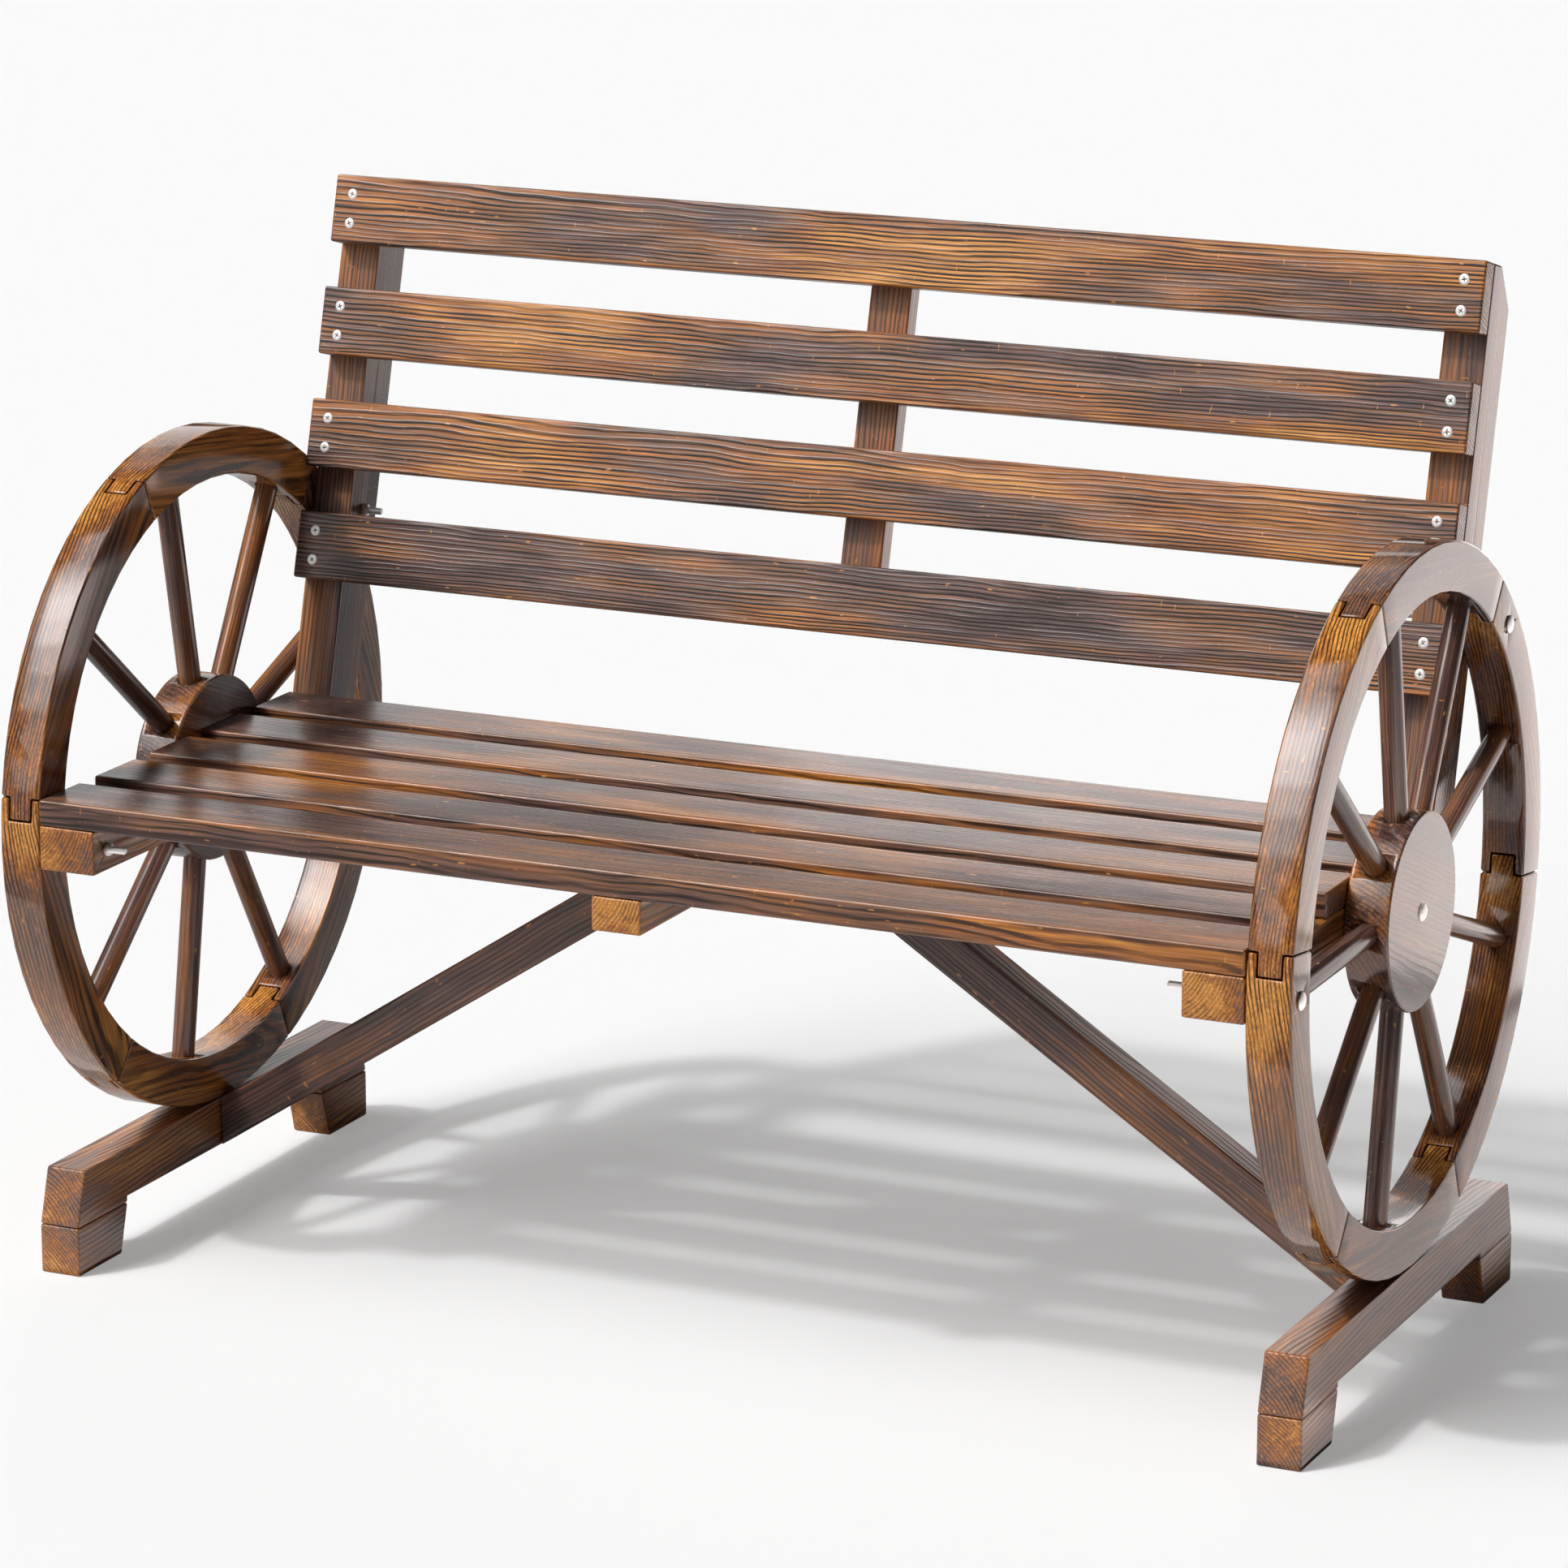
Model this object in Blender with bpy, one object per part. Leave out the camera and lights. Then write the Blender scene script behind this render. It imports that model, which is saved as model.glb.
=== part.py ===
"""Garden bench with a wagon wheel at each end, a slatted seat and a slatted leaning back, on two foot rails.

Metres. +X runs along the bench, +Y from front to back and +Z up. Left is -X, as seen by someone in front of the bench.
"""

import math

import bmesh
import bpy
from mathutils import Matrix, Vector

# Wheels: a rim of felloes joined by tongue and slot, round spokes and a drum hub.
WHEEL_RADIUS = 0.300
RIM_DEPTH = 0.042
RIM_THICKNESS = 0.038
FELLOE_COUNT = 6
FELLOE_TURN = math.radians(-7.6)
TONGUE_LENGTH = 0.018
TONGUE_WIDTH = 0.0205
SPOKE_COUNT = 9
SPOKE_TURN = math.radians(-9.4)
SPOKE_DIAMETER = 0.020
SPOKE_DEPTH_IN_RIM = 0.012
SPOKE_DEPTH_IN_HUB = 0.022
HUB_DIAMETER = 0.164

# Seat: the width is the space between the wheels. The front edge is flush with the front of the rims, the back edge
# lies behind the wheels' axis, and the slats share the depth between.
SEAT_WIDTH = 1.074
SEAT_BACK = 0.125
SEAT_SLAT_COUNT = 5
SEAT_SLAT_GAP = 0.025
SEAT_SLAT_THICKNESS = 0.022
SIDE_BEARER_WIDTH = 0.052
SIDE_BEARER_HEIGHT = 0.038
CENTRE_BEARER_WIDTH = 0.044
CENTRE_BEARER_HEIGHT = 0.029

# Back: slats on two posts that lean against the last seat slat, with a thin batten behind the middle.
BACK_LEAN = math.radians(15.2)
BACK_SLAT_COUNT = 4
BACK_SLAT_HEIGHT = 0.060
BACK_SLAT_GAP = 0.040
BACK_SLAT_THICKNESS = 0.022
BACK_SLAT_RISE = 0.100
POST_WIDTH = 0.038
POST_DEPTH = 0.050
POST_CHAMFER_DEPTH = 0.030
POST_CHAMFER_HEIGHT = 0.033
BATTEN_WIDTH = 0.038
BATTEN_DEPTH = 0.020
BATTEN_INSET = 0.012

# Feet: a rail under each wheel on two blocks, and a brace from each rail up to the centre bearer.
FOOT_RAIL_LENGTH = 0.512
FOOT_RAIL_WIDTH = 0.038
FOOT_RAIL_HEIGHT = 0.048
FOOT_RAIL_END_SLOPE = 0.014
FOOT_RAIL_RELIEF = 0.005
FOOT_BLOCK_LENGTH = 0.083
FOOT_BLOCK_HEIGHT = 0.043
FOOT_BLOCK_TAPER = 0.012
BRACE_HEIGHT = 0.0355
BRACE_THICKNESS = 0.033
BRACE_SETBACK = 0.287

# Wheel bolts with a low domed head, and a hexagon nut on the inside. The tail is measured from the nut's seat.
BOLT_DIAMETER = 0.006
BOLT_HEAD_DIAMETER = 0.0156
BOLT_HEAD_HEIGHT = 0.0032
BOLT_TAIL = 0.0185
BOLT_END_CHAMFER = 0.001
NUT_ACROSS_FLATS = 0.010
NUT_THICKNESS = 0.004

# Gap left between pieces that touch, the rounding of sawn edges, and how finely curves are cut.
CLEARANCE = 0.0003
EDGE_ROUND = 0.002
FELLOE_STEPS = 10
HUB_SEGMENTS = 60
SPOKE_SEGMENTS = 18
BOLT_SEGMENTS = 16
DOME_STEPS = 4

# Places that follow from the sizes above.
WHEEL_INNER_FACE = SEAT_WIDTH / 2
WHEEL_MIDDLE = WHEEL_INNER_FACE + RIM_THICKNESS / 2
RAIL_BOTTOM = FOOT_BLOCK_HEIGHT + CLEARANCE
RAIL_TOP = RAIL_BOTTOM + FOOT_RAIL_HEIGHT
WHEEL_HEIGHT = RAIL_TOP + CLEARANCE + WHEEL_RADIUS
RIM_INNER_RADIUS = WHEEL_RADIUS - RIM_DEPTH
RIM_MIDDLE_RADIUS = WHEEL_RADIUS - RIM_DEPTH / 2
HUB_RADIUS = HUB_DIAMETER / 2
SPOKE_RADIUS = SPOKE_DIAMETER / 2
SPOKE_START = HUB_RADIUS - SPOKE_DEPTH_IN_HUB
SPOKE_END = RIM_INNER_RADIUS + SPOKE_DEPTH_IN_RIM
FELLOE_SPAN = 2 * math.pi / FELLOE_COUNT
TONGUE_SPAN = TONGUE_LENGTH / RIM_MIDDLE_RADIUS
SIDE_BEARER_BOTTOM = WHEEL_HEIGHT - SIDE_BEARER_HEIGHT / 2
BEARER_TOP = WHEEL_HEIGHT + SIDE_BEARER_HEIGHT / 2
CENTRE_BEARER_BOTTOM = BEARER_TOP - CENTRE_BEARER_HEIGHT
SEAT_UNDERSIDE = BEARER_TOP + CLEARANCE
SEAT_TOP = SEAT_UNDERSIDE + SEAT_SLAT_THICKNESS
SEAT_FRONT = -WHEEL_RADIUS
SEAT_PITCH = (SEAT_BACK - SEAT_FRONT + SEAT_SLAT_GAP) / SEAT_SLAT_COUNT
SEAT_SLAT_WIDTH = SEAT_PITCH - SEAT_SLAT_GAP
SIDE_PIECE_FACE = WHEEL_INNER_FACE - CLEARANCE
BACK_PITCH = BACK_SLAT_HEIGHT + BACK_SLAT_GAP
BACK_TOP = BACK_SLAT_RISE + BACK_SLAT_COUNT * BACK_PITCH - BACK_SLAT_GAP
BACK_START = SEAT_BACK + CLEARANCE / math.cos(BACK_LEAN) + SEAT_SLAT_THICKNESS * math.tan(BACK_LEAN)
RAIL_INNER_FACE = WHEEL_MIDDLE - FOOT_RAIL_WIDTH / 2
SIDES = {"left": -1, "right": 1}


def clear_scene():
    for found in list(bpy.data.objects):
        bpy.data.objects.remove(found)


def make_material(name, colour, metallic, roughness):
    material = bpy.data.materials.new(name)
    material.use_nodes = True
    shader = material.node_tree.nodes["Principled BSDF"]
    shader.inputs["Base Color"].default_value = (*colour, 1)
    shader.inputs["Metallic"].default_value = metallic
    shader.inputs["Roughness"].default_value = roughness
    return material


def wood(name):
    return make_material(name + "_torched_fir", (0.075, 0.032, 0.016), 0, 0.45)


def steel(name):
    return make_material(name + "_zinc_steel", (0.6, 0.6, 0.58), 1, 0.3)


def add_object(name, work, material, parent=None):
    """Makes an object from a bmesh, with smooth faces that meet at sharp edges."""
    bmesh.ops.recalc_face_normals(work, faces=work.faces)
    mesh = bpy.data.meshes.new(name)
    work.to_mesh(mesh)
    work.free()
    mesh.shade_smooth()
    mesh.set_sharp_from_angle(angle=math.radians(35))
    added = bpy.data.objects.new(name, mesh)
    bpy.context.scene.collection.objects.link(added)
    if material:
        mesh.materials.append(material)
    added.parent = parent
    return added


def add_empty(name, location, turn_about_x=0):
    empty = bpy.data.objects.new(name, None)
    bpy.context.scene.collection.objects.link(empty)
    empty.location = location
    empty.rotation_euler.x = turn_about_x
    return empty


def as_cutter(made):
    """Turns an object into a helper that only cuts or adds to another one."""
    made.hide_render = True
    made.display_type = "WIRE"
    return made


def round_edges(piece, segments):
    bevel = piece.modifiers.new("rounded edges", "BEVEL")
    bevel.width = EDGE_ROUND
    bevel.segments = segments
    bevel.limit_method = "ANGLE"
    bevel.angle_limit = math.radians(30)


def combine(piece, helper, operation):
    boolean = piece.modifiers.new(operation.lower() + " " + helper.name, "BOOLEAN")
    boolean.object = helper
    boolean.operation = operation
    boolean.solver = "EXACT"


def prism(name, outline, axis, low, high, parent=None):
    """A straight wooden piece: a flat outline in the two other axes, carried along one axis from low to high."""
    work = bmesh.new()
    corners = []
    for first, second in outline:
        corners.append(work.verts.new((low, first, second) if axis == "X" else (first, low, second)))
    face = work.faces.new(corners)
    grown = bmesh.ops.extrude_face_region(work, geom=[face])
    moved = [item for item in grown["geom"] if isinstance(item, bmesh.types.BMVert)]
    step = Vector((high - low, 0, 0)) if axis == "X" else Vector((0, high - low, 0))
    bmesh.ops.translate(work, verts=moved, vec=step)
    piece = add_object(name, work, wood(name), parent)
    round_edges(piece, 2)
    return piece


def rectangle(first_low, first_high, second_low, second_high):
    return [
        (first_low, second_low),
        (first_high, second_low),
        (first_high, second_high),
        (first_low, second_high),
    ]


def rod(name, radius, low, high, segments, material=None, parent=None):
    """A round bar along the local Z axis, from low to high."""
    work = bmesh.new()
    place = Matrix.Translation((0, 0, (low + high) / 2))
    bmesh.ops.create_cone(
        work,
        cap_ends=True,
        segments=segments,
        radius1=radius,
        radius2=radius,
        depth=high - low,
        matrix=place,
    )
    return add_object(name, work, material, parent)


def lathe(name, profile, segments, material):
    """A round solid about the local Z axis from (radius, height) points that start and end on the axis."""
    work = bmesh.new()
    rings = []
    for radius, height in profile[1:-1]:
        ring = []
        for step in range(segments):
            angle = 2 * math.pi * step / segments
            ring.append(work.verts.new((radius * math.cos(angle), radius * math.sin(angle), height)))
        rings.append(ring)
    ends = [work.verts.new((0, 0, profile[0][1])), work.verts.new((0, 0, profile[-1][1]))]
    for step in range(segments):
        after = (step + 1) % segments
        work.faces.new((ends[0], rings[0][after], rings[0][step]))
        work.faces.new((ends[1], rings[-1][step], rings[-1][after]))
        for near, far in zip(rings, rings[1:]):
            work.faces.new((near[step], near[after], far[after], far[step]))
    return add_object(name, work, material)


def felloe(name, start, wheel):
    """One rim segment: its tongue leads at the higher angle, and its slot takes the tongue of the segment before it."""
    gap = CLEARANCE / RIM_MIDDLE_RADIUS / 2
    slot_end = TONGUE_SPAN + 2 * gap
    shoulder = FELLOE_SPAN - gap
    tongue_side = TONGUE_WIDTH / 2
    slot_side = tongue_side + CLEARANCE
    stations = [gap, slot_end]
    for step in range(1, FELLOE_STEPS + 1):
        stations.append(slot_end + (shoulder - slot_end) * step / FELLOE_STEPS)
    stations.append(FELLOE_SPAN + TONGUE_SPAN - gap)
    last = len(stations) - 1

    work = bmesh.new()
    columns = []
    for index, angle in enumerate(stations):
        inner = tongue_side if index >= last - 1 else slot_side
        across = (-RIM_THICKNESS / 2, -inner, inner, RIM_THICKNESS / 2)
        columns.append([work.verts.new((sideways, angle, 0)) for sideways in across])
    for index in range(last):
        for band in range(3):
            if index == 0 and band == 1:
                continue
            if index == last - 1 and band != 1:
                continue
            near, far = columns[index], columns[index + 1]
            work.faces.new((near[band], near[band + 1], far[band + 1], far[band]))
    bmesh.ops.delete(work, geom=[corner for corner in work.verts if not corner.link_faces], context="VERTS")
    grown = bmesh.ops.extrude_face_region(work, geom=list(work.faces))
    raised = [item for item in grown["geom"] if isinstance(item, bmesh.types.BMVert)]
    bmesh.ops.translate(work, verts=raised, vec=(0, 0, RIM_DEPTH))
    for corner in work.verts:
        sideways, angle, depth = corner.co
        radius = RIM_INNER_RADIUS + depth
        corner.co = (sideways, radius * math.cos(angle), radius * math.sin(angle))
    piece = add_object(name, work, wood(name), wheel)
    piece.rotation_euler.x = start
    round_edges(piece, 1)
    return piece


def reaches(angle, start):
    """Whether something at this angle of the wheel may meet the felloe, or its tongue, that starts at start."""
    margin = 2 * SPOKE_RADIUS / RIM_INNER_RADIUS
    return (angle - start + margin) % (2 * math.pi) < FELLOE_SPAN + TONGUE_SPAN + 2 * margin


def spoke_angle(index):
    return math.pi * 1.5 + SPOKE_TURN + 2 * math.pi * index / SPOKE_COUNT


def along_spoke(angle):
    """Turns a bar along local Z to lie in the wheel at this angle, measured from the back towards the top."""
    return angle - math.pi / 2


def rear_bolt_place():
    """Where the middle of the post crosses the middle of the rim, as (back, up) from the wheel's centre."""
    lean_back, lean_up = math.sin(BACK_LEAN), math.cos(BACK_LEAN)
    back = BACK_START + POST_DEPTH / 2 * lean_up
    up = SEAT_TOP - WHEEL_HEIGHT - POST_DEPTH / 2 * lean_back
    half = back * lean_back + up * lean_up
    rest = back * back + up * up - RIM_MIDDLE_RADIUS**2
    along = -half + math.sqrt(half * half - rest)
    return back + along * lean_back, up + along * lean_up


def bolt_head(seat):
    """(radius, height) points of the domed head above its seat, from the axis outwards."""
    points = []
    for step in range(DOME_STEPS):
        angle = math.pi / 2 * step / DOME_STEPS
        points.append((BOLT_HEAD_DIAMETER / 2 * math.sin(angle), seat + BOLT_HEAD_HEIGHT * math.cos(angle)))
    return points + [(BOLT_HEAD_DIAMETER / 2, seat)]


def bolt_shank(seat, nut_seat):
    """(radius, height) points of the plain shank, from the seat down to the end beyond the nut."""
    radius = BOLT_DIAMETER / 2
    end = nut_seat - BOLT_TAIL
    return [(radius, seat), (radius, end + BOLT_END_CHAMFER), (radius - BOLT_END_CHAMFER, end), (0, end)]


def add_nut(piece, nut_seat):
    corner_radius = NUT_ACROSS_FLATS / math.sqrt(3)
    hexagon = rod(piece.name + "_nut", corner_radius, nut_seat - NUT_THICKNESS, nut_seat, 6, None, piece)
    combine(piece, as_cutter(hexagon), "UNION")


def bolt(name, place, side, inner_face):
    """A domed bolt from the wheel's outer face to a nut on the inner face of the piece that it holds."""
    nut_seat = inner_face - WHEEL_INNER_FACE - RIM_THICKNESS - 2 * CLEARANCE
    piece = lathe(name, bolt_head(0) + bolt_shank(0, nut_seat), BOLT_SEGMENTS, steel(name))
    add_nut(piece, nut_seat)
    outer = side * (WHEEL_INNER_FACE + RIM_THICKNESS + CLEARANCE)
    piece.location = (outer, place[0], WHEEL_HEIGHT + place[1])
    piece.rotation_euler.y = side * math.pi / 2


def bolt_hole(name, place, side):
    """A cutter for a bolt's hole through the wheel and the piece behind it."""
    reach = RIM_THICKNESS + SIDE_BEARER_WIDTH + POST_WIDTH
    hole = as_cutter(rod(name, BOLT_DIAMETER / 2 + CLEARANCE, -reach, reach, BOLT_SEGMENTS))
    hole.location = (side * WHEEL_INNER_FACE, place[0], WHEEL_HEIGHT + place[1])
    hole.rotation_euler.y = math.pi / 2
    return hole


def hub(name, wheel, side):
    """A turned drum with its centre bolt, which goes on through the seat bearer, as one solid."""
    half = RIM_THICKNESS / 2
    rounded = EDGE_ROUND * (1 - math.sqrt(0.5))
    drum = [
        (0, half),
        (HUB_RADIUS - EDGE_ROUND, half),
        (HUB_RADIUS - rounded, half - rounded),
        (HUB_RADIUS, half - EDGE_ROUND),
        (HUB_RADIUS, EDGE_ROUND - half),
        (HUB_RADIUS - rounded, rounded - half),
        (HUB_RADIUS - EDGE_ROUND, -half),
        (0, -half),
    ]
    piece = lathe(name, drum, HUB_SEGMENTS, wood(name))
    piece.rotation_euler.y = side * math.pi / 2
    piece.parent = wheel

    inside = half - EDGE_ROUND
    nut_seat = -half - SIDE_BEARER_WIDTH - 2 * CLEARANCE
    sunk_head = bolt_head(half) + [(BOLT_HEAD_DIAMETER / 2, inside)]
    centre_bolt = lathe(name + "_bolt", sunk_head + bolt_shank(inside, nut_seat), BOLT_SEGMENTS, None)
    centre_bolt.parent = piece
    add_nut(centre_bolt, nut_seat)
    combine(piece, as_cutter(centre_bolt), "UNION")
    return piece


def build_wheel(side_name, side):
    """One wheel about its centre, and the holes of its bolts for the pieces behind it."""
    wheel = add_empty(side_name + "_wheel", (side * WHEEL_MIDDLE, 0, WHEEL_HEIGHT))
    drum = hub(side_name + "_wheel_hub", wheel, side)
    starts = [FELLOE_TURN + FELLOE_SPAN * index for index in range(FELLOE_COUNT)]
    felloes = []
    for index, start in enumerate(starts):
        felloes.append(felloe(f"{side_name}_wheel_felloe_{index + 1}", start, wheel))

    for index in range(SPOKE_COUNT):
        name = f"{side_name}_wheel_spoke_{index + 1}"
        angle = spoke_angle(index)
        spoke = rod(name, SPOKE_RADIUS, SPOKE_START, SPOKE_END, SPOKE_SEGMENTS, wood(name), wheel)
        socket = rod(
            name + "_sockets",
            SPOKE_RADIUS + CLEARANCE,
            SPOKE_START - CLEARANCE,
            SPOKE_END + CLEARANCE,
            SPOKE_SEGMENTS,
            None,
            wheel,
        )
        as_cutter(socket)
        for made in (spoke, socket):
            made.rotation_euler.x = along_spoke(angle)
        combine(drum, socket, "DIFFERENCE")
        for piece, start in zip(felloes, starts):
            if reaches(angle, start):
                combine(piece, socket, "DIFFERENCE")

    places = {"front": (-RIM_MIDDLE_RADIUS, 0), "rear": rear_bolt_place(), "hub": (0, 0)}
    holes = {}
    for where, place in places.items():
        hole = bolt_hole(f"{side_name}_{where}_bolt_hole", place, side)
        holes[where] = hole
        if where == "hub":
            continue
        inner = SIDE_PIECE_FACE - (SIDE_BEARER_WIDTH if where == "front" else POST_WIDTH)
        bolt(f"{side_name}_{where}_wheel_bolt", place, side, inner)
        for piece, start in zip(felloes, starts):
            if reaches(math.atan2(place[1], place[0]), start):
                combine(piece, hole, "DIFFERENCE")
    return holes


def post_front(height):
    """How far back the front plane of the posts is at this height above the floor."""
    return BACK_START + (height - SEAT_TOP) * math.tan(BACK_LEAN)


def build_seat(holes):
    half_length = SEAT_WIDTH / 2 - CLEARANCE
    for index in range(SEAT_SLAT_COUNT):
        front = SEAT_FRONT + SEAT_PITCH * index
        outline = rectangle(front, front + SEAT_SLAT_WIDTH, SEAT_UNDERSIDE, SEAT_TOP)
        prism(f"seat_slat_{index + 1}", outline, "X", -half_length, half_length)

    outline = rectangle(SEAT_FRONT, SEAT_BACK, CENTRE_BEARER_BOTTOM, BEARER_TOP)
    prism("centre_seat_bearer", outline, "X", -CENTRE_BEARER_WIDTH / 2, CENTRE_BEARER_WIDTH / 2)

    butt = CLEARANCE / math.cos(BACK_LEAN)
    outline = [
        (SEAT_FRONT, SIDE_BEARER_BOTTOM),
        (post_front(SIDE_BEARER_BOTTOM) - butt, SIDE_BEARER_BOTTOM),
        (post_front(BEARER_TOP) - butt, BEARER_TOP),
        (SEAT_FRONT, BEARER_TOP),
    ]
    for side_name, side in SIDES.items():
        ends = sorted((side * SIDE_PIECE_FACE, side * (SIDE_PIECE_FACE - SIDE_BEARER_WIDTH)))
        bearer = prism(side_name + "_seat_bearer", outline, "X", *ends)
        combine(bearer, holes[side_name]["front"], "DIFFERENCE")
        combine(bearer, holes[side_name]["hub"], "DIFFERENCE")


def build_back(holes):
    """Posts, slats and batten, in a frame that leans back from the seat's top with the posts' front as its plane."""
    frame = add_empty("leaning_back", (0, BACK_START, SEAT_TOP), -BACK_LEAN)

    def post_foot(depth):
        return (SIDE_BEARER_BOTTOM - SEAT_TOP + depth * math.sin(BACK_LEAN)) / math.cos(BACK_LEAN)

    post_outline = [
        (0, post_foot(0)),
        (POST_DEPTH, post_foot(POST_DEPTH)),
        (POST_DEPTH, BACK_TOP - POST_CHAMFER_HEIGHT),
        (POST_DEPTH - POST_CHAMFER_DEPTH, BACK_TOP),
        (0, BACK_TOP),
    ]
    for side_name, side in SIDES.items():
        ends = sorted((side * SIDE_PIECE_FACE, side * (SIDE_PIECE_FACE - POST_WIDTH)))
        post = prism(side_name + "_back_post", post_outline, "X", *ends, frame)
        combine(post, holes[side_name]["rear"], "DIFFERENCE")

    half_length = SEAT_WIDTH / 2 - CLEARANCE
    for index in range(BACK_SLAT_COUNT):
        low = BACK_SLAT_RISE + BACK_PITCH * index
        outline = rectangle(-CLEARANCE - BACK_SLAT_THICKNESS, -CLEARANCE, low, low + BACK_SLAT_HEIGHT)
        prism(f"back_slat_{index + 1}", outline, "X", -half_length, half_length, frame)

    outline = rectangle(0, BATTEN_DEPTH, BACK_SLAT_RISE + BATTEN_INSET, BACK_TOP - BATTEN_INSET)
    prism("centre_back_batten", outline, "X", -BATTEN_WIDTH / 2, BATTEN_WIDTH / 2, frame)


def build_feet():
    half = FOOT_RAIL_LENGTH / 2
    pad = half - FOOT_BLOCK_LENGTH
    relieved = RAIL_BOTTOM + FOOT_RAIL_RELIEF
    rail_outline = [
        (-half, RAIL_BOTTOM),
        (-pad, RAIL_BOTTOM),
        (-pad, relieved),
        (pad, relieved),
        (pad, RAIL_BOTTOM),
        (half, RAIL_BOTTOM),
        (half - FOOT_RAIL_END_SLOPE, RAIL_TOP),
        (FOOT_RAIL_END_SLOPE - half, RAIL_TOP),
    ]
    for side_name, side in SIDES.items():
        ends = sorted((side * RAIL_INNER_FACE, side * (RAIL_INNER_FACE + FOOT_RAIL_WIDTH)))
        prism(side_name + "_foot_rail", rail_outline, "X", *ends)
        for end_name, end in (("front", -1), ("rear", 1)):
            block_outline = [
                (end * half, 0),
                (end * half, FOOT_BLOCK_HEIGHT),
                (end * pad, FOOT_BLOCK_HEIGHT),
                (end * (pad + FOOT_BLOCK_TAPER), 0),
            ]
            prism(f"{side_name}_{end_name}_foot_block", block_outline, "X", *ends)


def build_braces():
    """Each brace runs from the inner face of a foot rail up to the side of the centre bearer, under the slats."""
    far = RAIL_INNER_FACE - CLEARANCE
    near = CENTRE_BEARER_WIDTH / 2 + CLEARANCE
    foot = RAIL_BOTTOM + FOOT_RAIL_RELIEF
    slope = (CENTRE_BEARER_BOTTOM - foot) / (far - near)
    upright = BRACE_HEIGHT * math.hypot(1, slope)
    ceiling = SEAT_UNDERSIDE - CLEARANCE
    corner = min(CENTRE_BEARER_BOTTOM + upright, ceiling)
    outline = [(far, foot), (far, foot + upright)]
    if CENTRE_BEARER_BOTTOM + upright > ceiling:
        outline.append((far - (ceiling - foot - upright) / slope, ceiling))
    outline += [(near, corner), (near, CENTRE_BEARER_BOTTOM)]
    front = SEAT_FRONT + BRACE_SETBACK
    for side_name, side in SIDES.items():
        mirrored = [(side * across, up) for across, up in outline]
        prism(side_name + "_brace", mirrored, "Y", front, front + BRACE_THICKNESS)


def build():
    clear_scene()
    holes = {}
    for side_name, side in SIDES.items():
        holes[side_name] = build_wheel(side_name, side)
    build_seat(holes)
    build_back(holes)
    build_feet()
    build_braces()
    bpy.context.view_layer.update()


build()
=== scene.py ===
import math

import bmesh
import bpy
from mathutils import Matrix, Vector


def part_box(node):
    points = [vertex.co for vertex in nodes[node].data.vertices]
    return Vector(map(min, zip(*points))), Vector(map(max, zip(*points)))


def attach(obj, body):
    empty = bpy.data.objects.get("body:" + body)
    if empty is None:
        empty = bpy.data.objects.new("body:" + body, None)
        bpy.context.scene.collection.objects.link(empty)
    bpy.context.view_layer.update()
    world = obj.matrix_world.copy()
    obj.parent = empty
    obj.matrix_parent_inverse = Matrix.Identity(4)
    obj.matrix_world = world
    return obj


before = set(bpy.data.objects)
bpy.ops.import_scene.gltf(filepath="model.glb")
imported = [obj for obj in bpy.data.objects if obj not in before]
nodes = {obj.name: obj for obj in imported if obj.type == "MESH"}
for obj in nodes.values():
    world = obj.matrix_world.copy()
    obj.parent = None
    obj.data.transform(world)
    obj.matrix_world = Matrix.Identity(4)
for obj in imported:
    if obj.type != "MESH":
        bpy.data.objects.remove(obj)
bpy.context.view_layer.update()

# Foot blocks and foot rails
# A sawn fir rail lies under each wheel on two tapered fir blocks, screwed up through the blocks.
# The wood is torched black-brown, brushed back until honey shows through, and given a clear satin coat.

LENGTHWAYS = Vector((1, 0, 0))
BACKWARDS = Vector((0, 1, 0))
UPWARDS = Vector((0, 0, 1))
SIDES = {"left": -1, "right": 1}


def linear(colour):
    """Turns an sRGB hex colour into linear red, green, blue and alpha."""
    levels = [int(colour[place : place + 2], 16) / 255 for place in (1, 3, 5)]
    return [level / 12.92 if level <= 0.04045 else ((level + 0.055) / 1.055) ** 2.4 for level in levels] + [1]


def add(tree, kind, settings, links):
    """Adds a node. Settings are its properties or input values, and links feed its inputs."""
    node = tree.nodes.new("ShaderNode" + kind)
    for name, value in settings.items():
        if isinstance(name, str) and hasattr(node, name):
            setattr(node, name, value)
        else:
            node.inputs[name].default_value = value
    for name, output in links.items():
        tree.links.new(output, node.inputs[name])
    return node


def spread(tree, value, start, end, low=0, high=1):
    """Turns a value that runs from start to end into one that runs from low to high."""
    settings = {"From Min": start, "From Max": end, "To Min": low, "To Max": high}
    return add(tree, "MapRange", settings, {"Value": value}).outputs["Result"]


def blend(tree, tone, colour, amount):
    """Lays a colour over a tone, more of it where the amount is larger."""
    return add(tree, "Mix", {"data_type": "RGBA", 7: linear(colour)}, {0: amount, 6: tone}).outputs[2]


def cloud(tree, own, stretch, detail, roughness, output="Fac"):
    """Noise with so many lumps in each metre along, across and out of the face of a piece."""
    lumps = add(tree, "VectorMath", {"operation": "MULTIPLY", 1: stretch}, {0: own}).outputs[0]
    settings = {"Scale": 1, "Detail": detail, "Roughness": roughness}
    return add(tree, "TexNoise", settings, {"Vector": lumps}).outputs[output]


# The log wasn't straight: its grain bends in long waves and ripples in short ones.
# Each has its lumps in each metre and its reach in metres.
GRAIN_BENDS = [((5, 16, 16), 0.011), ((26, 60, 60), 0.0013)]


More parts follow.
